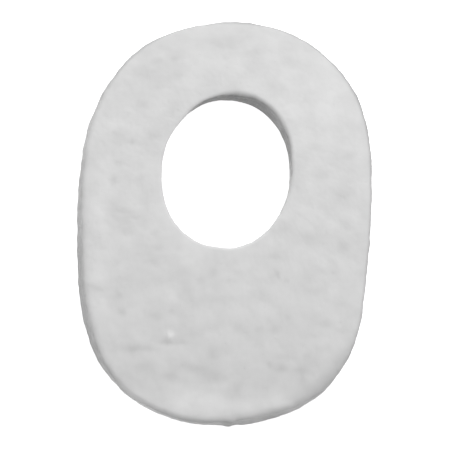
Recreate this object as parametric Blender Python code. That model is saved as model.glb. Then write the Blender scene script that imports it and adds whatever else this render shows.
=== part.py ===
"""Felt foot pad: a cushion cut by a die from one sheet of thick white felt, with an oval hole.

The hole goes round the sore spot and the felt around it takes the load of the shoe.
Metres, +Z up. The pad lies flat on Z = 0 with its length along Y and its hole towards +Y.
The origin is in the middle of the pad's box, on its underside.
Run it with blender --background --python part.py, or from the text editor.
"""

from collections import namedtuple
from math import cos, degrees, exp, pi, radians, sin

import bmesh
import bpy
from mathutils import Vector

# The sheet and the die that cuts it
PAD_WIDTH = 0.0461
PAD_LENGTH = 0.0635
FELT_THICKNESS = 0.0032
HOLE_WIDTH = 0.0206
HOLE_LENGTH = 0.0246
FRONT_BAND = 0.0119  # felt between the hole and the front end
HOLE_ASIDE = 0.0001  # how far the hole lies to the left of the middle

# The upper edges, which the die drags down as it cuts; the lower edges stay square
EDGE_ROUND_WIDTH = 0.0008
EDGE_ROUND_DEPTH = 0.00045
RIM_ROUND_WIDTH = 0.00055
RIM_ROUND_DEPTH = 0.0004

# Where the upper edge is rolled down further, at the back right: how much wider and deeper,
# and where and how far round, in degrees from +X
ROLL_WIDTH = 0.0016
ROLL_DEPTH = 0.0008
ROLL_ANGLE = 302
ROLL_SPREAD = 9

# How full each quarter of an outline is: 2 is an ellipse, more is nearer to a rectangle
Quarters = namedtuple("Quarters", "front_right front_left back_left back_right")
PAD_FULLNESS = Quarters(front_right=2.80, front_left=2.31, back_left=2.58, back_right=2.59)
HOLE_FULLNESS = Quarters(front_right=2.27, front_left=1.92, back_left=2.34, back_right=1.92)

# Soft waves of the cut edge, found where the felt gave way under the die. Angle and spread
# are in degrees round the pad from +X, and reach is in shares of the usual stray.
EDGE_STRAY = 0.0004
EdgeWave = namedtuple("EdgeWave", "angle spread reach")
EDGE_WAVES = (
    EdgeWave(angle=36, spread=12, reach=0.9),
    EdgeWave(angle=62, spread=12, reach=-0.5),
    EdgeWave(angle=84, spread=10, reach=0.9),
    EdgeWave(angle=104, spread=10, reach=-0.95),
    EdgeWave(angle=135, spread=14, reach=0.9),
    EdgeWave(angle=196, spread=12, reach=-0.85),
    EdgeWave(angle=213, spread=12, reach=-0.3),
    EdgeWave(angle=243, spread=12, reach=0.3),
    EdgeWave(angle=266, spread=8, reach=0.6),
    EdgeWave(angle=286, spread=9, reach=-0.45),
    EdgeWave(angle=318, spread=14, reach=1.1),
    EdgeWave(angle=341, spread=9, reach=-0.8),
)

# How finely the curves are cut into flats
STATIONS = 144  # round the pad and round the hole
ANGLES = [2 * pi * station / STATIONS for station in range(STATIONS)]
ROUND_STEPS = 4  # over each rounded edge
FACE_STEPS = 4  # across the upper face
SHARP_ANGLE = radians(40)

# Undyed white felt: matt all over
FELT_COLOUR = (0.82, 0.82, 0.81, 1.0)
FELT_ROUGHNESS = 0.95


def clear_scene():
    """Take out whatever the scene holds."""
    for thing in list(bpy.data.objects):
        bpy.data.objects.remove(thing)


def felt_material():
    """Return the plain white felt."""
    material = bpy.data.materials.new("white_felt")
    material.use_nodes = True
    shader = material.node_tree.nodes["Principled BSDF"]
    shader.inputs["Base Color"].default_value = FELT_COLOUR
    shader.inputs["Roughness"].default_value = FELT_ROUGHNESS
    shader.inputs["Metallic"].default_value = 0.0
    return material


def nearness(angle, middle, spread):
    """Return 1 at a place round the pad, and less the further the angle lies from it."""
    apart = (degrees(angle) - middle + 180) % 360 - 180
    return exp(-0.5 * (apart / spread) ** 2)


def stray(angle):
    """Return how far the cut edge lies outside the die's line at an angle round the pad."""
    return EDGE_STRAY * sum(wave.reach * nearness(angle, wave.angle, wave.spread) for wave in EDGE_WAVES)


def oval(width, length, fullness, wander=None):
    """Return a closed outline round the origin, anticlockwise from +X, one point a station."""
    points = []
    for angle in ANGLES:
        across, along = cos(angle), sin(angle)
        if along >= 0:
            power = fullness.front_right if across >= 0 else fullness.front_left
        else:
            power = fullness.back_right if across >= 0 else fullness.back_left
        x_share = abs(2 * across / width) ** power
        y_share = abs(2 * along / length) ** power
        radius = (x_share + y_share) ** (-1 / power)
        if wander:
            radius += wander(angle)
        points.append(Vector((radius * across, radius * along)))
    return points


def moved(outline, shift):
    """Return the outline moved as a whole."""
    return [point + shift for point in outline]


def inset(outline, distances):
    """Return the outline moved inwards, square to its own line, by a distance at each point."""
    points = []
    for index, distance in enumerate(distances):
        onward = outline[(index + 1) % STATIONS] - outline[index - 1]
        inward = Vector((-onward.y, onward.x)).normalized()
        points.append(outline[index] + inward * distance)
    return points


def middle_of_box(outline):
    """Return the middle of the box that the outline fills."""
    xs = [point.x for point in outline]
    ys = [point.y for point in outline]
    return Vector((min(xs) + max(xs), min(ys) + max(ys))) / 2


def level(outline, height):
    """Return the outline as a ring of points at one height."""
    return [(point.x, point.y, height) for point in outline]


def rounded_edge(outline, widths, depths):
    """Return the rings of a wall's upper edge, from the wall up to the face.

    There is a width and a depth for each point. A positive width rounds towards the inside of
    the outline, and a negative one outwards.
    """
    rings = []
    for step in range(ROUND_STEPS + 1):
        turn = pi / 2 * step / ROUND_STEPS
        line = inset(outline, [width * (1 - cos(turn)) for width in widths])
        drops = [depth * (1 - sin(turn)) for depth in depths]
        rings.append([(point.x, point.y, FELT_THICKNESS - drop) for point, drop in zip(line, drops)])
    return rings


def face_rings(outer, inner):
    """Return the rings that cross the flat upper face between two outlines."""
    rings = []
    for step in range(1, FACE_STEPS):
        share = step / FACE_STEPS
        between = [a.lerp(b, share) for a, b in zip(outer, inner)]
        rings.append(level(between, FELT_THICKNESS))
    return rings


def pad_rings():
    """Return the pad's rings in order: up the cut edge, over the face and down the hole."""
    edge = oval(PAD_WIDTH, PAD_LENGTH, PAD_FULLNESS, stray)
    hole_middle = Vector((-HOLE_ASIDE, (PAD_LENGTH - HOLE_LENGTH) / 2 - FRONT_BAND))
    hole = moved(oval(HOLE_WIDTH, HOLE_LENGTH, HOLE_FULLNESS), hole_middle)

    to_origin = -middle_of_box(edge)
    edge = moved(edge, to_origin)
    hole = moved(hole, to_origin)

    rolls = [nearness(angle, ROLL_ANGLE, ROLL_SPREAD) for angle in ANGLES]
    edge_widths = [EDGE_ROUND_WIDTH + ROLL_WIDTH * roll for roll in rolls]
    edge_depths = [EDGE_ROUND_DEPTH + ROLL_DEPTH * roll for roll in rolls]
    rim_widths = [-RIM_ROUND_WIDTH] * STATIONS
    rim_depths = [RIM_ROUND_DEPTH] * STATIONS

    rings = [level(edge, 0.0)]
    rings += rounded_edge(edge, edge_widths, edge_depths)
    rings += face_rings(inset(edge, edge_widths), inset(hole, rim_widths))
    rings += reversed(rounded_edge(hole, rim_widths, rim_depths))
    rings.append(level(hole, 0.0))
    return rings


def felt_pad(material):
    """Build the pad as one closed body, with the last ring joined to the first underneath."""
    bm = bmesh.new()
    rings = [[bm.verts.new(point) for point in ring] for ring in pad_rings()]
    for lower, upper in zip(rings, rings[1:] + rings[:1]):
        for station in range(STATIONS):
            after = (station + 1) % STATIONS
            bm.faces.new((lower[station], lower[after], upper[after], upper[station]))
    mesh = bpy.data.meshes.new("felt_pad")
    bm.to_mesh(mesh)
    bm.free()
    mesh.shade_smooth()
    mesh.set_sharp_from_angle(angle=SHARP_ANGLE)
    mesh.materials.append(material)
    pad = bpy.data.objects.new("felt_pad", mesh)
    bpy.context.scene.collection.objects.link(pad)


clear_scene()
felt_pad(felt_material())
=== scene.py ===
from collections import namedtuple
from math import cos, pi, radians, sin

import bpy
import numpy as np
from mathutils import Matrix, Vector, noise


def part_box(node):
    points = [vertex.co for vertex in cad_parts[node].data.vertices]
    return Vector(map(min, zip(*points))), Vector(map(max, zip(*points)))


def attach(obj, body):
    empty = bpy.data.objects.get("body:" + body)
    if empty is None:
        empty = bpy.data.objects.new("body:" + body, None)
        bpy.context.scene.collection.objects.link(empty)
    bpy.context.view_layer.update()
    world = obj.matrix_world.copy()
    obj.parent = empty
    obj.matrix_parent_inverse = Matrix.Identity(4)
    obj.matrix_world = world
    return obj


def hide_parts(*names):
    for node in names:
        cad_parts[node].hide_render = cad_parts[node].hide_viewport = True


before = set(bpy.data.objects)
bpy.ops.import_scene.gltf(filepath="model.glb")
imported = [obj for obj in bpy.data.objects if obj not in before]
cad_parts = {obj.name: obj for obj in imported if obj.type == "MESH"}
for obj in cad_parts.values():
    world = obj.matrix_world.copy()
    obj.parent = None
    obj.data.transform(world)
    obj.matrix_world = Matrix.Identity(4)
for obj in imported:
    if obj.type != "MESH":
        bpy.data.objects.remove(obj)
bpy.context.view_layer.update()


# The felt
# One thick sheet of undyed white wool felt, pressed and then cut by a die, with an oval hole.
# The die drags the upper edges down, and the rest of the face keeps the soft swells, small
# pits and knots of matted wool.
MM = 0.001
MICRONS = 1e6  # in a metre
FELT_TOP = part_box("felt_pad")[1].z
STATIONS = 720  # points round the pad and round the hole
SMOOTH_WAVES = 70  # waves that are kept of the CAD solid's outlines
CHORD_STEP = 3  # stations between the points that distances are measured from

# The usual rounding of the upper edges, and the lower corner and the bulge of a cut wall
EDGE_ROUND_WIDTH = 0.80 * MM
EDGE_ROUND_DEPTH = 0.45 * MM
RIM_ROUND_WIDTH = 0.55 * MM
RIM_ROUND_DEPTH = 0.40 * MM
LOWER_CORNER = 0.12 * MM
WALL_BELLY = 0.07 * MM

# Where the die rolled an upper edge down further or cut on a slant. Angles and spreads are
# in degrees from +X, and the rest is in mm over the usual rounding of an upright wall.
Roll = namedtuple("Roll", "angle spread width depth slant")
EDGE_ROLLS = (
    Roll(angle=317, spread=5, width=0.80, depth=0.32, slant=0.00),
    Roll(angle=303, spread=14, width=0.30, depth=0.10, slant=0.10),
    Roll(angle=283, spread=9, width=0.30, depth=0.25, slant=0.40),
    Roll(angle=260, spread=7, width=0.15, depth=0.05, slant=-0.25),
    Roll(angle=243, spread=5, width=0.10, depth=0.00, slant=-0.45),
    Roll(angle=195, spread=19, width=0.15, depth=0.00, slant=0.50),
    Roll(angle=224, spread=8, width=0.20, depth=0.10, slant=0.28),
)
RIM_ROLLS = (
    Roll(angle=18, spread=8, width=0.00, depth=0.00, slant=-0.13),
    Roll(angle=40, spread=12, width=0.30, depth=0.30, slant=0.05),
    Roll(angle=61, spread=8, width=0.10, depth=0.15, slant=0.30),
    Roll(angle=73, spread=5, width=0.00, depth=0.05, slant=0.22),
    Roll(angle=84, spread=8, width=0.55, depth=0.55, slant=0.00),
    Roll(angle=103, spread=7, width=0.00, depth=0.00, slant=-0.12),
    Roll(angle=137, spread=16, width=0.00, depth=0.00, slant=-0.32),
    Roll(angle=-25, spread=20, width=0.00, depth=0.00, slant=-0.20),
)

# Small strays of the cut lines, where the felt gave way a little: how far round they lie and
# spread, in degrees, and how far out they reach, in mm. The last on the edge is a torn tuft.
Stray = namedtuple("Stray", "angle spread reach")
EDGE_STRAYS = (
    Stray(20, 3, -0.10),
    Stray(47, 4, 0.12),
    Stray(62, 6, -0.12),
    Stray(90, 4, 0.16),
    Stray(112, 8, -0.07),
    Stray(129, 6, -0.16),
    Stray(143, 4, -0.08),
    Stray(151, 6, 0.16),
    Stray(232, 4, 0.11),
    Stray(246, 8, -0.13),
    Stray(267, 6, 0.14),
    Stray(282, 4, 0.17),
    Stray(288, 6, -0.13),
    Stray(331, 8, -0.12),
    Stray(273.9, 1.1, 0.26),
)
HOLE_STRAYS = (
    Stray(22, 7, 0.05),
    Stray(62, 7, -0.05),
    Stray(102, 8, -0.06),
    Stray(123, 6, -0.03),
    Stray(150, 14, 0.04),
    Stray(243, 7, -0.04),
)

# Finer wandering of the cut lines: how far, over what length, and how deep the face follows
EDGE_RAGGED = 0.08 * MM
HOLE_RAGGED = 0.05 * MM
RAGGED_LENGTH = 1.5 * MM
RAGGED_DEEP = 0.9 * MM
RAGGED_FADE = 0.9
RAGGED_OCTAVES = 2
RAGGED_STEPS = (3.7, -1.9, 4.1)
NOISE_GAP = 2.0

# How many rings of points cover each stretch of the felt
CORNER_RINGS = 3
WALL_RINGS = 9
ROUND_RINGS = 10
FACE_RINGS = 76
UNDER_RINGS = 5

# The wool's light and dull patches, and the grey that it nears on its greyest stretches, the cut
# walls among them; much of that grey is painted shade
FELT_WHITE = (0.92, 0.92, 0.92, 1.0)
FELT_SHADE = (0.845, 0.845, 0.845, 1.0)
GREY_AND_PAINTED_SHADE = (0.36, 0.36, 0.36, 1.0)

# How far down the normal of a face on the underside points at least, where -1 is straight down
FACES_DOWN = -0.99


def underside_lines(node):
    """Return the lines round the CAD solid's underside: the cut edge, then the hole."""
    corners = {}
    for vertex in node.data.vertices:
        corners[vertex.index] = tuple(round(value * MICRONS) for value in vertex.co)
    lower = [
        [corners[index] for index in face.vertices]
        for face in node.data.polygons
        if face.normal.z < FACES_DOWN
    ]
    sides = set()
    for face in lower:
        sides.update(zip(face, face[1:] + face[:1]))
    onward = {start: end for start, end in sides if (end, start) not in sides}
    lines = []
    while onward:
        start, spot = onward.popitem()
        line = [start]
        while spot != line[0]:
            line.append(spot)
            spot = onward.pop(spot)
        lines.append(np.array(line)[:, :2] / MICRONS)
    return sorted(lines, key=lambda line: -np.ptp(line[:, 1]))


def smooth_line(line):
    """Return the line's middle and its points again, evenly turned about it and without flats."""
    middle = (line.min(axis=0) + line.max(axis=0)) / 2
    reach = line - middle
    turns = np.arctan2(reach[:, 1], reach[:, 0])
    even = np.arange(STATIONS) * 2 * pi / STATIONS
    order = np.argsort(turns % (2 * pi))
    radii = np.hypot(reach[:, 0], reach[:, 1])
    radius = np.interp(even, turns[order] % (2 * pi), radii[order], period=2 * pi)
    waves = np.fft.rfft(radius)
    waves[SMOOTH_WAVES:] = 0
    radius = np.fft.irfft(waves, STATIONS)
    return middle + radius[:, None] * np.stack([np.cos(even), np.sin(even)], axis=1)


def inset(line, distance):
    """Return the closed line moved inwards by a distance, or by one for each point."""
    along = np.roll(line, -1, axis=0) - np.roll(line, 1, axis=0)
    along /= np.linalg.norm(along, axis=1)[:, None]
    inward = np.stack([-along[:, 1], along[:, 0]], axis=1)
    return line + inward * np.broadcast_to(distance, STATIONS)[:, None]


def noise_start(seed, steps):
    """Return where in the noise a seed's own stretch begins."""
    return Vector([seed * step for step in steps])


def ragged(line, reach, seed):
    """Return how far a cut through soft felt strays outwards at each point of the line."""
    start = noise_start(seed, RAGGED_STEPS)
    spots = [Vector((x, y, 0.0)) / RAGGED_LENGTH + start for x, y in line]
    wander = [noise.fractal(spot, RAGGED_FADE, NOISE_GAP, RAGGED_OCTAVES) for spot in spots]
    return reach * np.array(wander)


def round_the_pad(angle, spread):
    """Return a soft hump for each station, 1 at an angle and less beyond a spread, in degrees."""
    stations = np.arange(STATIONS) * 360 / STATIONS
    apart = (stations - angle + 180) % 360 - 180
    return np.exp(-0.5 * (apart / spread) ** 2)


def summed(rows, column):
    """Return what a column of the rows adds up to at each station."""
    return sum(getattr(row, column) * round_the_pad(row.angle, row.spread) for row in rows)


def ring(line, height):
    """Return the line as a ring of points at a height, or at one for each point."""
    return np.column_stack([line, np.broadcast_to(height, STATIONS)])


def wall_rings(line, side, top, slant):
    """Return the rings of a cut wall from the underside up; side is 1 outside and -1 in the hole.

    The wall leans back by the slant on its way up.
    """
    rings = []
    for step in range(CORNER_RINGS):
        turn = pi / 2 * step / CORNER_RINGS
        back = LOWER_CORNER * (1 - sin(turn))
        rings.append(ring(inset(line, side * back), LOWER_CORNER * (1 - cos(turn))))
    for step in range(WALL_RINGS):
        share = step / WALL_RINGS
        back = slant * share - WALL_BELLY * sin(pi * share)
        height = LOWER_CORNER + (top - LOWER_CORNER) * share
        rings.append(ring(inset(line, side * back), height))
    return rings


def round_rings(line, width, depth):
    """Return the rings of an upper edge, from the wall up to the face."""
    rings = []
    for step in range(ROUND_RINGS + 1):
        turn = pi / 2 * step / ROUND_RINGS
        height = FELT_TOP - depth * (1 - sin(turn))
        rings.append(ring(inset(line, width * (1 - cos(turn))), height))
    return rings


def between_rings(outer, inner, height, count):
    """Return the rings that lie between two lines, without the lines themselves."""
    shares = [step / (count + 1) for step in range(1, count + 1)]
    return [ring(outer + (inner - outer) * share, height) for share in shares]


edge_line, hole_line = (smooth_line(line) for line in underside_lines(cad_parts["felt_pad"]))
edge_width = EDGE_ROUND_WIDTH + MM * summed(EDGE_ROLLS, "width")
edge_depth = EDGE_ROUND_DEPTH + MM * summed(EDGE_ROLLS, "depth")
edge_slant = MM * summed(EDGE_ROLLS, "slant")
rim_width = RIM_ROUND_WIDTH + MM * summed(RIM_ROLLS, "width")
rim_depth = RIM_ROUND_DEPTH + MM * summed(RIM_ROLLS, "depth")
rim_slant = MM * summed(RIM_ROLLS, "slant")
edge_corner = inset(edge_line, edge_slant)
rim_corner = inset(hole_line, -rim_slant)
outer_rings = wall_rings(edge_line, 1, FELT_TOP - edge_depth, edge_slant)
outer_rings += round_rings(edge_corner, edge_width, edge_depth)
hole_rings = wall_rings(hole_line, -1, FELT_TOP - rim_depth, rim_slant)
hole_rings += round_rings(rim_corner, -rim_width, rim_depth)
face_edge, face_rim = outer_rings[-1][:, :2], hole_rings[-1][:, :2]
face_rings = between_rings(face_edge, face_rim, FELT_TOP, FACE_RINGS)
under_rings = between_rings(hole_rings[0][:, :2], outer_rings[0][:, :2], 0.0, UNDER_RINGS)
rings = np.array(outer_rings + face_rings + hole_rings[::-1] + under_rings)


def surface_normals(grid):
    """Return the outward normal at each point of the closed grid of rings."""
    along = np.roll(grid, -1, axis=1) - np.roll(grid, 1, axis=1)
    over = np.roll(grid, -1, axis=0) - np.roll(grid, 1, axis=0)
    normals = np.cross(along, over)
    return normals / np.linalg.norm(normals, axis=2)[:, :, None]


ROUGH_FADE = 1.0
ROUGH_STEPS = (7.3, -3.1, 5.7)


def rough(points, size, octaves, seed):
    """Return soft noise from about -1 to 1 at each point, with lumps of about the given size."""
    start = noise_start(seed, ROUGH_STEPS)
    flat = points.reshape(-1, 3) / size
    spots = [Vector(point) + start for point in flat]
    values = [noise.fractal(spot, ROUGH_FADE, NOISE_GAP, octaves) for spot in spots]
    return np.array(values).reshape(points.shape[:2])


def distance_to(points, line):
    """Return how far each point of the grid lies from a closed line, in plan."""
    nearest = np.full(points.shape[:2], np.inf)
    coarse = line[::CHORD_STEP]
    for start, end in zip(coarse, np.roll(coarse, -1, axis=0)):
        chord = end - start
        apart = points[:, :, :2] - start
        share = np.clip(apart @ chord / (chord @ chord), 0, 1)
        gap = apart - share[:, :, None] * chord
        nearest = np.minimum(nearest, np.hypot(gap[:, :, 0], gap[:, :, 1]))
    return nearest


# At the back right the felt is squashed thinner, more and more towards the edge
PRESS_ANGLE = 304
PRESS_SPREAD = 8
PRESS_DEPTH = 0.85 * MM
PRESS_REACH = 2.4 * MM

from_edge = distance_to(rings, edge_line)
from_hole = distance_to(rings, hole_line)
press_slope = np.clip(1 - from_edge / PRESS_REACH, 0, 1)
press = round_the_pad(PRESS_ANGLE, PRESS_SPREAD) * press_slope
rings[:, :, 2] *= 1 - PRESS_DEPTH / FELT_TOP * press * press_slope
edge_stray = ragged(edge_line, EDGE_RAGGED, 1) + MM * summed(EDGE_STRAYS, "reach")
hole_stray = ragged(hole_line, HOLE_RAGGED, 2) + MM * summed(HOLE_STRAYS, "reach")
for line, stray, away in ((edge_line, edge_stray, from_edge), (hole_line, hole_stray, from_hole)):
    outward = line - inset(line, 1.0)  # one unit long
    follow = np.exp(-((away / RAGGED_DEEP) ** 2)) * stray
    rings[:, :, :2] += follow[:, :, None] * outward
normals = surface_normals(rings)
upward = np.clip(normals[:, :, 2], 0, 1)
under = np.clip(-normals[:, :, 2], 0, 1)
sideways = 1 - upward - under

# The form of the face: it falls gently towards the cut edges, with a low swell beside them
EDGE_FALL = 0.07 * MM
EDGE_FALL_REACH = 1.2 * MM
RIM_FALL = 0.16 * MM
RIM_FALL_REACH = 1.8 * MM
RIM_STEEPEST = 220
RIM_STEEPER = 0.4
RIM_FLATTEST = 310
RIM_FLATTER = 0.9
RIM_FALL_SPREAD = 29
SWELL_RISE = 0.04 * MM
SWELL_FROM_EDGE = 2.4 * MM
SWELL_REACH = 1.5 * MM

lift = -EDGE_FALL * np.exp(-from_edge / EDGE_FALL_REACH)
rim_share = 1 + RIM_STEEPER * round_the_pad(RIM_STEEPEST, RIM_FALL_SPREAD)
rim_share -= RIM_FLATTER * round_the_pad(RIM_FLATTEST, RIM_FALL_SPREAD)
lift -= RIM_FALL * rim_share * np.exp(-from_hole / RIM_FALL_REACH)
lift += SWELL_RISE * np.exp(-(((from_edge - SWELL_FROM_EDGE) / SWELL_REACH) ** 2))

# Matted wool on the face: broad soft swells, patches and small clumps. On the walls it is
# torn rather than sliced, so it is rougher. Heights and sizes are in mm.
Lumps = namedtuple("Lumps", "height size octaves seed")
FACE_LUMPS = (
    Lumps(height=0.076, size=6.0, octaves=2, seed=1),
    Lumps(height=0.048, size=2.2, octaves=3, seed=2),
    Lumps(height=0.009, size=0.8, octaves=2, seed=3),
)
WALL_LUMPS = (
    Lumps(height=0.08, size=2.4, octaves=3, seed=4),
    Lumps(height=0.03, size=0.8, octaves=2, seed=5),
)
LAYER_FLATNESS = 3.0


def lumpy(points, kinds):
    """Return how far the lumps raise each point of the grid."""
    return sum(
        lumps.height * MM * rough(points, lumps.size * MM, lumps.octaves, lumps.seed)
        for lumps in kinds
    )


lift += lumpy(rings, FACE_LUMPS)

# The listed hollows: where each lies and how wide and long it is, in mm
# on the pad's own axes, and how deep and grey it is, next to a usual one. Below zero it is a
# small rise, and paler than the felt round it.
HOLLOW_DEPTH = 0.05 * MM
# The grey of the hollows is painted shade, and a small rise or the knot, below zero, is painted
# paler as a painted highlight
PAINTED_RELIEF_SHADING = 0.15
Mark = namedtuple("Mark", "x y wide long strength", defaults=(0.5,))
MARKS = (
    Mark(-8.5, -20.4, 1.7, 0.8, 1.2),
    Mark(-6.0, -20.3, 2.0, 0.5, 0.6),
    Mark(-15.4, -16.2, 1.1, 1.2, 0.9),
    Mark(-13.9, -21.9, 3.0, 1.2, 1.3),
    Mark(-11.4, -21.6, 2.4, 0.7, 0.6),
    Mark(8.3, -8.6, 1.0, 1.0, 1.2),
    Mark(9.8, -9.4, 0.8, 0.8, 0.7),
    Mark(-1.7, -8.8, 1.2, 1.8, 0.8),
    Mark(2.3, -8.7, 1.6, 1.0),
    Mark(-3.5, -10.5, 1.4, 1.0),
    Mark(1.0, -10.0, 1.5, 0.7),
    Mark(-7.3, -5.8, 0.9, 0.9, 0.6),
    Mark(-10.4, -5.8, 1.2, 1.0, 0.6),
    Mark(-16.8, -8.7, 1.0, 1.4, 0.6),
    Mark(-11.2, -8.0, 2.0, 1.0, 0.6),
    Mark(-6.8, -9.2, 1.4, 1.6),
    Mark(-16.1, -13.7, 1.1, 1.1, 0.7),
    Mark(-20.2, -12.9, 3.4, 1.0, 0.7),
    Mark(-10.6, -16.5, 2.4, 1.2, 0.7),
    Mark(-7.9, -15.6, 0.7, 0.7),
    Mark(-1.2, -21.8, 1.2, 1.4, 0.6),
    Mark(-4.3, -24.2, 4.2, 1.5, 1.1),
    Mark(-0.9, -25.4, 3.6, 1.4, 1.2),
    Mark(2.8, -27.0, 1.5, 2.2, 1.1),
    Mark(-7.6, -25.7, 2.6, 1.5, 1.0),
    Mark(-11.2, -24.4, 3.6, 1.9, 0.8),
    Mark(7.7, -22.8, 0.8, 0.8, 0.9),
    Mark(9.4, -23.2, 1.8, 1.1, 1.0),
    Mark(12.5, -23.4, 2.4, 0.9, 0.8),
    Mark(12.9, -24.4, 0.9, 1.3, 0.7),
    Mark(9.6, -21.4, 2.4, 1.0),
    Mark(13.4, -20.9, 1.2, 1.2),
    Mark(16.6, -19.4, 0.8, 0.9),
    Mark(16.3, -15.7, 2.0, 1.1, 0.9),
    Mark(18.5, -16.5, 2.2, 0.8, 0.6),
    Mark(8.2, -17.3, 1.4, 1.2, 0.6),
    Mark(5.8, -17.5, 1.2, 1.2),
    Mark(2.2, -17.6, 1.2, 1.2),
    Mark(10.0, -15.2, 0.8, 0.9, 0.6),
    Mark(-0.1, -13.1, 2.6, 2.0, 0.6),
    Mark(13.6, -11.0, 2.8, 1.2, 0.6),
    Mark(17.4, -7.3, 1.4, 1.8, 0.6),
    Mark(18.4, -3.2, 2.0, 1.6, 0.9),
    Mark(7.5, -5.8, 4.4, 0.8, 0.6),
    Mark(18.1, -12.6, 1.5, 0.9),
    Mark(-2.8, 28.0, 3.4, 1.3, 0.6),
    Mark(3.2, 27.0, 2.6, 1.1, 0.6),
    Mark(9.7, 26.0, 2.6, 1.4),
    Mark(-9.6, 24.6, 1.2, 1.2, 0.7),
    Mark(-12.4, 24.1, 1.7, 1.2, 0.6),
    Mark(-8.8, 22.2, 1.6, 1.0, 0.6),
    Mark(-13.5, 21.8, 3.0, 1.5),
    Mark(-13.9, 16.8, 1.6, 1.2, 0.6),
    Mark(-18.3, 11.7, 1.4, 1.2, 0.5),
    Mark(-12.0, 11.9, 2.6, 1.0, 0.6),
    Mark(-15.5, 10.7, 0.9, 1.0, 0.6),
    Mark(-17.5, 7.0, 1.8, 1.2, 0.6),
    Mark(-18.0, 4.3, 1.0, 1.3, 1.0),
    Mark(-13.6, 4.9, 1.1, 1.4, 0.6),
    Mark(-16.6, -0.4, 3.0, 0.9, 0.7),
    Mark(-14.2, -1.3, 1.6, 0.7, 0.6),
    Mark(-11.0, -3.4, 1.0, 1.2, 0.6),
    Mark(-15.7, -3.6, 2.6, 1.3, 0.6),
    Mark(14.5, 8.0, 2.0, 2.0, 0.8),
    Mark(13.3, 12.4, 1.8, 1.2),
    Mark(18.3, 4.8, 1.6, 1.1, 0.7),
    Mark(12.9, 3.6, 1.2, 1.4, 0.6),
    Mark(18.8, 0.1, 1.6, 1.5, 0.6),
    Mark(12.6, -2.4, 2.4, 2.0, 0.6),
    Mark(8.9, -0.9, 1.5, 2.0),
    Mark(19.0, 11.4, 1.5, 1.0),
    Mark(6.5, -13.9, 1.6, 2.6, -0.4),
    Mark(-8.1, -13.6, 1.6, 1.6, -0.4),
    Mark(15.4, -6.6, 1.1, 0.9, -0.4),
    Mark(1.1, -26.3, 1.3, 1.2, -0.4),
    Mark(-11.5, 25.1, 1.0, 1.2, -0.4),
    Mark(-19.6, -10.6, 2.0, 2.8, -0.5),
)
# Its strength below zero makes the knot paler: a painted highlight on its lit top
KNOT = Mark(-8.0, -19.4, 1.0, 1.1, -1.3)
KNOT_RISE = 0.26 * MM
MARK_SOFTNESS = 0.58
MARK_STRAY = 0.24 * MM
MARK_STRAY_SIZE = 1.2 * MM
MARK_STRAY_OCTAVES = 2


def spot_share(xs, ys, spot, softness):
    """Return how strongly a spot shows at each point of the grid, from 0 to 1."""
    across = (xs - spot.x * MM) / (spot.wide * MM * softness)
    along = (ys - spot.y * MM) / (spot.long * MM * softness)
    return np.exp(-(across ** 2) - along ** 2)


marked_x = rings[:, :, 0] + MARK_STRAY * rough(rings, MARK_STRAY_SIZE, MARK_STRAY_OCTAVES, 6)
marked_y = rings[:, :, 1] + MARK_STRAY * rough(rings, MARK_STRAY_SIZE, MARK_STRAY_OCTAVES, 7)
hollows = sum(mark.strength * spot_share(marked_x, marked_y, mark, MARK_SOFTNESS) for mark in MARKS)
knot = spot_share(marked_x, marked_y, KNOT, MARK_SOFTNESS)
lift += KNOT_RISE * knot - HOLLOW_DEPTH * hollows

# The torn wool of the walls parts in layers that lie flat
layers = rings * np.array([1.0, 1.0, LAYER_FLATNESS])
rings += normals * (lift * upward + lumpy(layers, WALL_LUMPS) * sideways)[:, :, None]
rings[:, :, 2] = np.maximum(rings[:, :, 2], 0.0)


def grid_mesh(name, grid):
    """Make a mesh from a grid of rings that closes both ways."""
    count, stations = grid.shape[:2]
    index = np.arange(count * stations).reshape(count, stations)
    over = np.roll(index, -1, axis=0)
    quads = [index, np.roll(index, -1, axis=1), np.roll(over, -1, axis=1), over]
    mesh = bpy.data.meshes.new(name)
    mesh.from_pydata(grid.reshape(-1, 3), [], np.stack(quads, axis=2).reshape(-1, 4))
    mesh.shade_smooth()
    return mesh


def store(mesh, name, values):
    """Keep a number for each point of the mesh under a name."""
    attribute = mesh.attributes.new(name, "FLOAT", "POINT")
    attribute.data.foreach_set("value", values.astype(np.float32).ravel())


# Paler stretches of the face: where each lies, how wide and long it is in mm, and
# how much less grey it is, from 0 to 1; below zero it is greyer
Pale = namedtuple("Pale", "x y wide long share")
PALES = (
    Pale(-4.0, -29.4, 17.0, 3.2, 0.20),
    Pale(8.8, -28.4, 7.0, 2.6, 0.14),
    Pale(-15.5, -23.8, 3.0, 3.0, 0.06),
    Pale(-19.4, -14.5, 4.0, 12.0, 0.12),
    Pale(-19.5, 2.0, 3.0, 14.0, 0.10),
    Pale(-18.2, 12.5, 3.0, 7.0, 0.05),
    Pale(20.6, 6.0, 1.6, 16.0, 0.05),
    Pale(-11.0, -5.0, 16.0, 8.0, 0.04),
    Pale(15.0, 20.0, 9.0, 14.0, 0.08),
    Pale(9.9, 16.0, 3.0, 6.0, 0.06),
    Pale(6.8, 19.5, 4.0, 4.0, 0.07),
    Pale(2.3, 21.7, 6.0, 3.0, 0.06),
    Pale(8.0, -24.0, 16.0, 10.0, -0.05),
    Pale(13.6, -25.4, 4.0, 4.5, -0.10),
    Pale(-13.5, 22.0, 6.0, 6.0, -0.04),
)
PALE_SOFTNESS = 0.5
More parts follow.
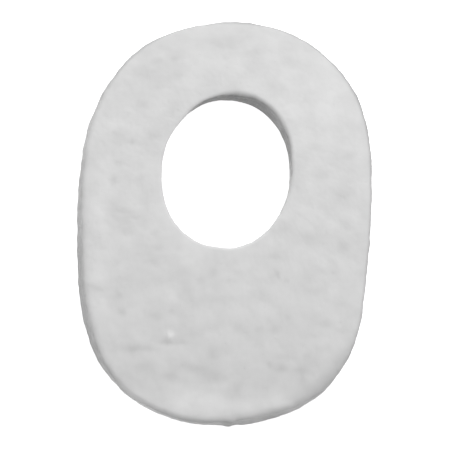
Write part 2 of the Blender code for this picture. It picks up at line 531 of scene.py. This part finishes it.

# How grey the felt is, much of it painted shade and some painted light: most in the hole's wall,
# less on the outer wall, and a little along the upper edge, over the squashed back right and in the
# hollows
FACE_GREY = 0.20
CUT_GREY = 0.20
# A painted lit band high on the hole's wall near 53 degrees, where the light falls on it
RIM_PAINTED_LIGHT = 0.36
RIM_PAINTED_LIGHT_ANGLE = 53
RIM_PAINTED_LIGHT_SPREAD = 15
RIM_PAINTED_LIGHT_RISE = 3
WALL_MOTTLE = 0.22
WALL_MOTTLE_SIZE = 1.3 * MM
WALL_MOTTLE_OCTAVES = 2
EDGE_GREY = 0.18
EDGE_GREY_WIDTH = 0.42 * MM
Greyer = namedtuple("Greyer", "angle spread share")
# Painted shade on the upper edge's rounding, where it turns from the light, at given angles
ROUNDING_PAINTED_SHADE = (
    Greyer(12, 16, 0.24),
    Greyer(50, 17, 0.60),
    Greyer(88, 6, 0.40),
    Greyer(121, 12, 0.22),
    Greyer(319, 4, 0.12),
    Greyer(333, 9, 0.16),
    Greyer(353, 8, 0.12),
)
# Painted shade round the hole's wall, darkest near 84 degrees where the wall faces away from the
# light, and painted light near 142 degrees where it faces the light
HOLE_PAINTED_SHADE_AND_LIGHT = (
    Greyer(84, 42, 0.80),
    Greyer(112, 10, 0.20),
    Greyer(24, 13, 0.34),
    Greyer(142, 17, -0.40),
)
# Painted light and painted shade round the outer wall at given angles, with a painted shadow under
# the torn tuft near 274 degrees
WALL_PAINTED_LIGHT_AND_SHADE = (
    Greyer(156, 8, -0.15),
    Greyer(202, 8, 0.14),
    Greyer(226, 7, 0.08),
    Greyer(243, 4, -0.10),
    Greyer(250, 6, -0.18),
    Greyer(274, 2, 0.14),
    Greyer(286, 3, 0.14),
    Greyer(296, 5, -0.08),
)
# Painted shade over the squashed slope at the back right, which falls away from the light
PRESS_PAINTED_SHADE = 0.20

# How upright a wall is, and how level a rounding, where each has the whole of its grey
WALL_WHOLE = 0.7
ROUNDING_WHOLE = 1 / 3

near_hole = from_hole < from_edge
rim_rise = (rings[:, :, 2] / FELT_TOP) ** RIM_PAINTED_LIGHT_RISE
rim_painted_light = RIM_PAINTED_LIGHT * round_the_pad(RIM_PAINTED_LIGHT_ANGLE, RIM_PAINTED_LIGHT_SPREAD) * rim_rise
# The hole's wall: its painted shade, less the painted lit band
hole_painted_shade_and_light = CUT_GREY + summed(HOLE_PAINTED_SHADE_AND_LIGHT, "share") - rim_painted_light
wall_grey_and_painted_shade = np.where(near_hole, hole_painted_shade_and_light, CUT_GREY + summed(WALL_PAINTED_LIGHT_AND_SHADE, "share"))
grey = FACE_GREY + (wall_grey_and_painted_shade - FACE_GREY) * np.clip(sideways / WALL_WHOLE, 0, 1)
grey += WALL_MOTTLE * rough(layers, WALL_MOTTLE_SIZE, WALL_MOTTLE_OCTAVES, 8) * sideways
# Painted shade on the rounding, added to the plain grey along the upper edge
rounding_painted_shade = summed(ROUNDING_PAINTED_SHADE, "share") * np.clip(upward / ROUNDING_WHOLE, 0, 1)
edge_grey_and_painted_shade = EDGE_GREY * (1 - under) + rounding_painted_shade
grey += edge_grey_and_painted_shade * np.exp(-((from_edge / EDGE_GREY_WIDTH) ** 2))
grey += PRESS_PAINTED_SHADE * press * upward
for pale in PALES:
    grey -= pale.share * spot_share(rings[:, :, 0], rings[:, :, 1], pale, PALE_SOFTNESS) * upward
# Painted shade in the hollows, and a painted highlight on the knot and the small rises
grey += PAINTED_RELIEF_SHADING * (hollows + KNOT.strength * knot) * upward

# Where loose fibres grow, for the pieces that follow: on the level of the face, and on the
# walls wherever they stand clear of the floor
FACE_LEAST = 0.75
WALL_THICKEST = 0.5
CLEAR_HEIGHT = 0.80 * MM
wall_zone = np.clip(sideways / WALL_THICKEST, 0, 1) * (rings[:, :, 2] > CLEAR_HEIGHT)

body_mesh = grid_mesh("felt_body", rings)
store(body_mesh, "greyness", np.clip(grey, 0, 1))
store(body_mesh, "face_zone", np.clip((upward - FACE_LEAST) / (1 - FACE_LEAST), 0, 1))
store(body_mesh, "edge_zone", wall_zone * ~near_hole)
store(body_mesh, "hole_zone", wall_zone * near_hole)
store(body_mesh, "knot_zone", knot * upward)


def node_group(name, inputs, outputs):
    """Start a shader node group with named sockets, and return its tree and its two ends."""
    group = bpy.data.node_groups.new(name, "ShaderNodeTree")
    for kind, label, value in inputs:
        socket = group.interface.new_socket(label, in_out="INPUT", socket_type=kind)
        if value is not None:
            socket.default_value = value
    for kind, label in outputs:
        group.interface.new_socket(label, in_out="OUTPUT", socket_type=kind)
    return group, group.nodes.new("NodeGroupInput"), group.nodes.new("NodeGroupOutput")


def add(tree, kind, links=None, **settings):
    """Add a node, set its properties and its sockets, and link what comes into it."""
    node = tree.nodes.new(kind)
    for key, value in settings.items():
        setattr(node, key, value)
    for key, value in (links or {}).items():
        if isinstance(value, bpy.types.NodeSocket):
            tree.links.new(value, node.inputs[key])
        else:
            node.inputs[key].default_value = value
    return node


PATCHES_PER_METRE = 260.0
PATCH_DETAIL = 4.0
DULL_BELOW = 0.30
LIGHT_ABOVE = 0.62


def wool_patches():
    """Group: the soft cloudy change of tone in matted wool."""
    group, start, end = node_group(
        "wool_patches",
        [
            ("NodeSocketVector", "Vector", None),
            ("NodeSocketFloat", "Patches per Metre", PATCHES_PER_METRE),
            ("NodeSocketColor", "Light Wool", FELT_WHITE),
            ("NodeSocketColor", "Dark Wool", FELT_SHADE),
        ],
        [("NodeSocketColor", "Color")],
    )
    broad = add(
        group, "ShaderNodeTexNoise",
        {
            "Vector": start.outputs["Vector"],
            "Scale": start.outputs["Patches per Metre"],
            "Detail": PATCH_DETAIL,
        },
    )
    ramp = add(
        group, "ShaderNodeMapRange",
        {"Value": broad.outputs["Fac"], "From Min": DULL_BELOW, "From Max": LIGHT_ABOVE},
    )
    mix = add(
        group, "ShaderNodeMix",
        {0: ramp.outputs["Result"], 6: start.outputs["Dark Wool"], 7: start.outputs["Light Wool"]},
        data_type="RGBA",
    )
    group.links.new(mix.outputs[2], end.inputs["Color"])
    return group


# The three ways that the ridges run, in degrees, how much each set is curled, how they are
# tilted out of the sheet, and how they are stretched along themselves
RIDGES_PER_METRE = 2200.0
RIDGE_DETAIL = 3.0
Ridges = namedtuple("Ridges", "turn curl")
RIDGE_SETS = (Ridges(20.0, 1.2), Ridges(80.0, 1.5), Ridges(145.0, 1.8))
RIDGE_TILT = (0.4, 0.3)
RIDGE_STRETCH = (0.18, 1.0, 1.0)


def wool_grain():
    """Group: the height of crossing fibres, as fine ridges that run three ways."""
    group, start, end = node_group(
        "wool_grain",
        [
            ("NodeSocketVector", "Vector", None),
            ("NodeSocketFloat", "Fibres per Metre", RIDGES_PER_METRE),
        ],
        [("NodeSocketFloat", "Height")],
    )
    heights = []
    for ridges in RIDGE_SETS:
        turned = add(
            group, "ShaderNodeMapping",
            {
                "Vector": start.outputs["Vector"],
                "Rotation": (*RIDGE_TILT, radians(ridges.turn)),
                "Scale": RIDGE_STRETCH,
            },
        )
        strand = add(
            group, "ShaderNodeTexNoise",
            {
                "Vector": turned.outputs["Vector"],
                "Scale": start.outputs["Fibres per Metre"],
                "Detail": RIDGE_DETAIL,
                "Distortion": ridges.curl,
            },
        )
        heights.append(strand.outputs["Fac"])
    top = heights[0]
    for height in heights[1:]:
        top = add(group, "ShaderNodeMath", {0: top, 1: height}, operation="MAXIMUM").outputs[0]
    group.links.new(top, end.inputs["Height"])
    return group


WOOL_PATCHES = wool_patches()
WOOL_GRAIN = wool_grain()


def start_material(name, finish):
    """Start a material with a plain finish, and return it, its tree and its shader."""
    material = bpy.data.materials.new(name)
    material.use_nodes = True
    shader = material.node_tree.nodes["Principled BSDF"]
    for label, value in finish.items():
        shader.inputs[label].default_value = value
    return material, material.node_tree, shader


WOOL_GLOSS = 0.25
FELT_FINISH = {
    "Roughness": 0.95, "Sheen Weight": 0.10, "Sheen Roughness": 0.6,
    "Specular IOR Level": WOOL_GLOSS,
}
GRAIN_STRENGTH = 0.12
GRAIN_DEPTH = 0.05 * MM


def felt_material():
    """Make the felt's finish: cloudy white wool, greyer where its stored greyness says, much of
    which is painted shade.
    """
    material, tree, shader = start_material("white_felt", FELT_FINISH)
    place = add(tree, "ShaderNodeTexCoord").outputs["Object"]
    patches = add(tree, "ShaderNodeGroup", node_tree=WOOL_PATCHES)
    tree.links.new(place, patches.inputs["Vector"])
    # The stored greyness, much of it painted shade and some painted light, mixes the wool towards
    # grey
    grey = add(tree, "ShaderNodeAttribute", attribute_name="greyness")
    tone = add(
        tree, "ShaderNodeMix",
        {0: grey.outputs["Fac"], 6: patches.outputs["Color"], 7: GREY_AND_PAINTED_SHADE},
        data_type="RGBA",
    )
    tree.links.new(tone.outputs[2], shader.inputs["Base Color"])
    grain = add(tree, "ShaderNodeGroup", node_tree=WOOL_GRAIN)
    tree.links.new(place, grain.inputs["Vector"])
    bump = add(
        tree, "ShaderNodeBump",
        {"Height": grain.outputs["Height"], "Strength": GRAIN_STRENGTH, "Distance": GRAIN_DEPTH},
    )
    tree.links.new(bump.outputs["Normal"], shader.inputs["Normal"])
    return material


def new_object(name, data):
    """Put a new object with the data into the scene."""
    thing = bpy.data.objects.new(name, data)
    bpy.context.scene.collection.objects.link(thing)
    return thing


body_mesh.materials.append(felt_material())
felt_body = new_object("felt_body", body_mesh)
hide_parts("felt_pad")
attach(felt_body, "root")


# The nap on the face
# Single wool fibres that have worked out of the face and lie over it, each rooted in the
# felt at one end. They are too fine to see one by one, and soften how the face takes light.
NAP_WHITE = (0.88, 0.88, 0.88, 1.0)
NAP_SHADE = (0.82, 0.82, 0.82, 1.0)
NAP_FINISH = {"Roughness": 0.9, "Specular IOR Level": WOOL_GLOSS}

# The wool fibres: how thick they usually are and how deep in the felt they are rooted, how
# much of the thickness is gone at the tip, and how many points and sides each one has
FIBRE_THICKNESS = 0.018 * MM
FIBRE_ROOT = 0.04 * MM
FIBRE_TAPER = 0.6
FIBRE_POINTS = 6
FIBRE_SIDES = 3

# The noise that waves them: how far apart in it two fibres lie, how fine it is, and the value
# that it swings about
WAVE_GAP = 7.31
WAVE_DETAIL = 1.0
WAVE_MIDDLE = (0.5, 0.5, 0.5)


def between(tree, least, most, seed):
    """Return a random number between two others, one for each fibre."""
    value = add(tree, "FunctionNodeRandomValue", {2: least, 3: most, 8: seed}, data_type="FLOAT")
    return value.outputs[1]


def turned(tree, rotation, axis, angle):
    """Return the rotation turned further about one of its own axes."""
    turn = add(tree, "FunctionNodeAxisAngleToRotation", {"Axis": axis, "Angle": angle})
    return add(
        tree, "FunctionNodeRotateRotation",
        {"Rotation": rotation, "Rotate By": turn.outputs[0]}, rotation_space="LOCAL",
    ).outputs[0]


def combine(tree, operation, first, second):
    """Return two numbers put together by a sum, a product or a quotient."""
    return add(tree, "ShaderNodeMath", {0: first, 1: second}, operation=operation).outputs[0]


def arrow(tree, operation, links):
    """Return an arrow worked out from others."""
    return add(tree, "ShaderNodeVectorMath", links, operation=operation).outputs[0]


def fibre_tree():
    """Build the nodes that grow curved fibres out of a surface, thickest where a zone is 1."""
    tree = bpy.data.node_groups.new("felt_fibres", "GeometryNodeTree")
    for kind, label in (
        ("Geometry", "Geometry"), ("String", "Growing Zone"), ("Float", "Fibres per Square Metre"),
        ("Float", "Length"), ("Float", "Length Spread"), ("Float", "Thickness"),
        ("Float", "Least Lean"), ("Float", "Most Lean"), ("Vector", "Waviness"),
        ("Float", "Wave Size"), ("Float", "Root Depth"), ("Int", "Seed"), ("Material", "Material"),
    ):
        tree.interface.new_socket(label, in_out="INPUT", socket_type="NodeSocket" + kind)
    tree.interface.new_socket("Geometry", in_out="OUTPUT", socket_type="NodeSocketGeometry")
    start = tree.nodes.new("NodeGroupInput").outputs
    end = tree.nodes.new("NodeGroupOutput")

    # Where the fibres stand, and which way each one leans
    zone = add(
        tree, "GeometryNodeInputNamedAttribute",
        {"Name": start["Growing Zone"]}, data_type="FLOAT",
    ).outputs["Attribute"]
    density = combine(tree, "MULTIPLY", zone, start["Fibres per Square Metre"])
    roots = add(
        tree, "GeometryNodeDistributePointsOnFaces",
        {"Mesh": start["Geometry"], "Density": density, "Seed": start["Seed"]},
    )
    inwards = combine(tree, "MULTIPLY", start["Root Depth"], -1.0)
    below = arrow(tree, "SCALE", {0: roots.outputs["Normal"], "Scale": inwards})
    sunk = add(
        tree, "GeometryNodeSetPosition", {"Geometry": roots.outputs["Points"], "Offset": below},
    )
    spin_seed, lean_seed, length_seed = (
        combine(tree, "ADD", start["Seed"], number) for number in (1, 2, 3)
    )
    spin = between(tree, 0.0, 2 * pi, spin_seed)
    lean = between(tree, start["Least Lean"], start["Most Lean"], lean_seed)
    rotation = turned(tree, roots.outputs["Rotation"], (0.0, 0.0, 1.0), spin)
    rotation = turned(tree, rotation, (1.0, 0.0, 0.0), lean)
    least = combine(tree, "SUBTRACT", 1.0, start["Length Spread"])
    most = combine(tree, "ADD", 1.0, start["Length Spread"])
    share = between(tree, least, most, length_seed)
    length = combine(tree, "MULTIPLY", start["Length"], share)
    size = add(tree, "ShaderNodeCombineXYZ", {"X": 1.0, "Y": 1.0, "Z": length})

    # One straight fibre of unit length, set at every root and then waved
    line = add(
        tree, "GeometryNodeCurvePrimitiveLine", {"Start": (0.0, 0.0, 0.0), "End": (0.0, 0.0, 1.0)},
    )
    stepped = add(
        tree, "GeometryNodeResampleCurve", {"Curve": line.outputs[0], "Count": FIBRE_POINTS},
    )
    placed = add(
        tree, "GeometryNodeInstanceOnPoints",
        {
            "Points": sunk.outputs[0], "Instance": stepped.outputs[0],
            "Rotation": rotation, "Scale": size.outputs[0],
        },
    )
    strands = add(tree, "GeometryNodeRealizeInstances", {"Geometry": placed.outputs[0]})
    along = add(tree, "GeometryNodeSplineParameter").outputs["Factor"]
    strand = add(tree, "GeometryNodeCurveOfPoint").outputs["Curve Index"]
    drift = add(
        tree, "ShaderNodeTexNoise",
        {
            "Scale": combine(tree, "DIVIDE", 1.0, start["Wave Size"]),
            "W": combine(tree, "MULTIPLY", strand, WAVE_GAP),
            "Detail": WAVE_DETAIL,
        },
        noise_dimensions="4D",
    )
    swing = arrow(tree, "SUBTRACT", {0: drift.outputs["Color"], 1: WAVE_MIDDLE})
    reach = arrow(tree, "MULTIPLY", {0: swing, 1: start["Waviness"]})
    offset = arrow(tree, "SCALE", {0: reach, "Scale": along})
    waved = add(
        tree, "GeometryNodeSetPosition", {"Geometry": strands.outputs[0], "Offset": offset},
    )

    # The fibre's body, which thins towards its tip
    radius = combine(tree, "MULTIPLY", start["Thickness"], 0.5)
    section = add(
        tree, "GeometryNodeCurvePrimitiveCircle", {"Resolution": FIBRE_SIDES, "Radius": radius},
    )
    taper = combine(tree, "SUBTRACT", 1.0, combine(tree, "MULTIPLY", along, FIBRE_TAPER))
    solid = add(
        tree, "GeometryNodeCurveToMesh",
        {
            "Curve": waved.outputs[0], "Profile Curve": section.outputs[0],
            "Scale": taper, "Fill Caps": True,
        },
    )
    real = add(tree, "GeometryNodeRealizeInstances", {"Geometry": solid.outputs[0]})
    painted = add(
        tree, "GeometryNodeSetMaterial",
        {"Geometry": real.outputs[0], "Material": start["Material"]},
    )
    tree.links.new(painted.outputs[0], end.inputs["Geometry"])
    return tree


FIBRES = fibre_tree()


def fibre_material():
    """Make the loose fibres' finish, a little lighter than the felt that they grow from."""
    material, tree, shader = start_material("loose_wool", NAP_FINISH)
    patches = add(tree, "ShaderNodeGroup", node_tree=WOOL_PATCHES)
    tree.links.new(add(tree, "ShaderNodeTexCoord").outputs["Object"], patches.inputs["Vector"])
    patches.inputs["Light Wool"].default_value = NAP_WHITE
    patches.inputs["Dark Wool"].default_value = NAP_SHADE
    tree.links.new(patches.outputs["Color"], shader.inputs["Base Color"])
    return material


LOOSE_WOOL = fibre_material()


def grow(name, sizes):
    """Grow one piece of loose fibres out of the felt body, as a plain mesh."""
    piece = new_object(name, body_mesh.copy())
    modifier = piece.modifiers.new("felt_fibres", "NODES")
    modifier.node_group = FIBRES
    usual = {"Thickness": FIBRE_THICKNESS, "Root Depth": FIBRE_ROOT, "Material": LOOSE_WOOL}
    values = {**usual, **sizes}
    for item in FIBRES.interface.items_tree:
        if item.in_out == "INPUT" and item.name in values:
            modifier[item.identifier] = values[item.name]
    grown = piece.evaluated_get(bpy.context.evaluated_depsgraph_get())
    mesh = bpy.data.meshes.new_from_object(grown)
    piece.modifiers.clear()
    piece.data = mesh
    mesh.name = name
    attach(piece, "root")


grow("face_nap", {
    "Growing Zone": "face_zone", "Fibres per Square Metre": 1.2e6, "Seed": 11,
    "Length": 1.1 * MM, "Length Spread": 0.5, "Thickness": 0.012 * MM,
    "Least Lean": radians(85), "Most Lean": radians(90),
    "Waviness": (0.6 * MM, 0.6 * MM, 0.05 * MM), "Wave Size": 0.7 * MM,
})


# The fuzz of the cut edges
# Wool fibres that the die cut through stand out of the two walls, shorter and stiffer than
# the nap. They are rooted in the felt like it, and stop short of the floor.
FUZZ = {
    "Fibres per Square Metre": 4.5e6, "Length Spread": 0.6,
    "Least Lean": radians(35), "Most Lean": radians(85),
    "Waviness": (0.3 * MM, 0.3 * MM, 0.3 * MM), "Wave Size": 0.4 * MM,
}
grow("edge_fuzz", {**FUZZ, "Growing Zone": "edge_zone", "Length": 0.40 * MM, "Seed": 23})
grow("hole_fuzz", {**FUZZ, "Growing Zone": "hole_zone", "Length": 0.35 * MM, "Seed": 37})


# The knot
# A tangle of short curled wool fibres that rubbing has drawn up out of the face, near the
# back left. They are rooted in the small rise that the felt has there.
grow("wool_knot", {
    "Growing Zone": "knot_zone", "Fibres per Square Metre": 16e6, "Seed": 41,
    "Length": 0.60 * MM, "Length Spread": 0.5,
    "Least Lean": radians(78), "Most Lean": radians(89),
    "Waviness": (0.6 * MM, 0.6 * MM, 0.1 * MM), "Wave Size": 0.25 * MM,
})


# The floor, the light and the camera
# A plain pale table under one broad soft light, which hangs over the end with the hole, and
# a camera almost straight above, leaning a little towards the pad's back left.
FLOOR_HALF = 2.0
FLOOR_HEIGHT = -0.01 * MM
FLOOR_FINISH = {
    "Base Color": (0.93, 0.93, 0.93, 1.0), "Roughness": 0.9, "Specular IOR Level": 0.1,
    "Emission Color": (1.0, 1.0, 1.0, 1.0),
}
FLOOR_GLOW = 0.36
FLOOR_GLARE = 0.50
LIGHT_PLACE = (0.06, 0.19, 0.31)
LIGHT_SIZE = 0.30
LIGHT_POWER = 1.19
ROOM_TONE = (1.0, 1.0, 1.0, 1.0)
ROOM_STRENGTH = 0.22
CAMERA_AIM = Vector((0.28, -0.45, -0.06)) * MM
CAMERA_DISTANCE = 0.350
CAMERA_LEAN = radians(16)
CAMERA_SIDE = radians(238)
CAMERA_ROLL = radians(-2.58)
FRAME_WIDTH = 0.0704
SENSOR_WIDTH = 36.0
NEAREST_SEEN = 0.01


def floor_material():
    """Make the plain pale table top, lit from below, which glares a little in the lens."""
    material, tree, shader = start_material("pale_table", FLOOR_FINISH)
    seen = add(tree, "ShaderNodeLightPath").outputs["Is Camera Ray"]
    glow = add(
        tree, "ShaderNodeMath",
        {0: seen, 1: FLOOR_GLARE, 2: FLOOR_GLOW}, operation="MULTIPLY_ADD",
    )
    tree.links.new(glow.outputs[0], shader.inputs["Emission Strength"])
    return material


floor_mesh = bpy.data.meshes.new("table_top")
corners = [
    (x * FLOOR_HALF, y * FLOOR_HALF, FLOOR_HEIGHT)
    for x, y in ((-1, -1), (1, -1), (1, 1), (-1, 1))
]
floor_mesh.from_pydata(corners, [], [(0, 1, 2, 3)])
floor_mesh.materials.append(floor_material())
table_top = new_object("table_top", floor_mesh)

lamp = bpy.data.lights.new("soft_light", "AREA")
lamp.shape = "SQUARE"
lamp.size = LIGHT_SIZE
lamp.energy = LIGHT_POWER
soft_light = new_object("soft_light", lamp)
soft_light.location = LIGHT_PLACE
soft_light.rotation_euler = (-Vector(LIGHT_PLACE)).to_track_quat("-Z", "Y").to_euler()

room = bpy.data.worlds.new("room")
room.use_nodes = True
background = room.node_tree.nodes["Background"]
background.inputs["Color"].default_value = ROOM_TONE
background.inputs["Strength"].default_value = ROOM_STRENGTH
bpy.context.scene.world = room
bpy.context.scene.view_settings.view_transform = "Standard"

towards_camera = Vector((
    sin(CAMERA_LEAN) * cos(CAMERA_SIDE),
    sin(CAMERA_LEAN) * sin(CAMERA_SIDE),
    cos(CAMERA_LEAN),
))
right = Vector((sin(CAMERA_ROLL), cos(CAMERA_ROLL), 0)).cross(towards_camera).normalized()
up = towards_camera.cross(right)
lens = bpy.data.cameras.new("camera")
lens.sensor_width = SENSOR_WIDTH
lens.lens = SENSOR_WIDTH * CAMERA_DISTANCE / FRAME_WIDTH
lens.clip_start = NEAREST_SEEN
camera = new_object("camera", lens)
turn = Matrix((right, up, towards_camera)).transposed().to_4x4()
camera.matrix_world = Matrix.Translation(CAMERA_AIM + towards_camera * CAMERA_DISTANCE) @ turn
bpy.context.scene.camera = camera
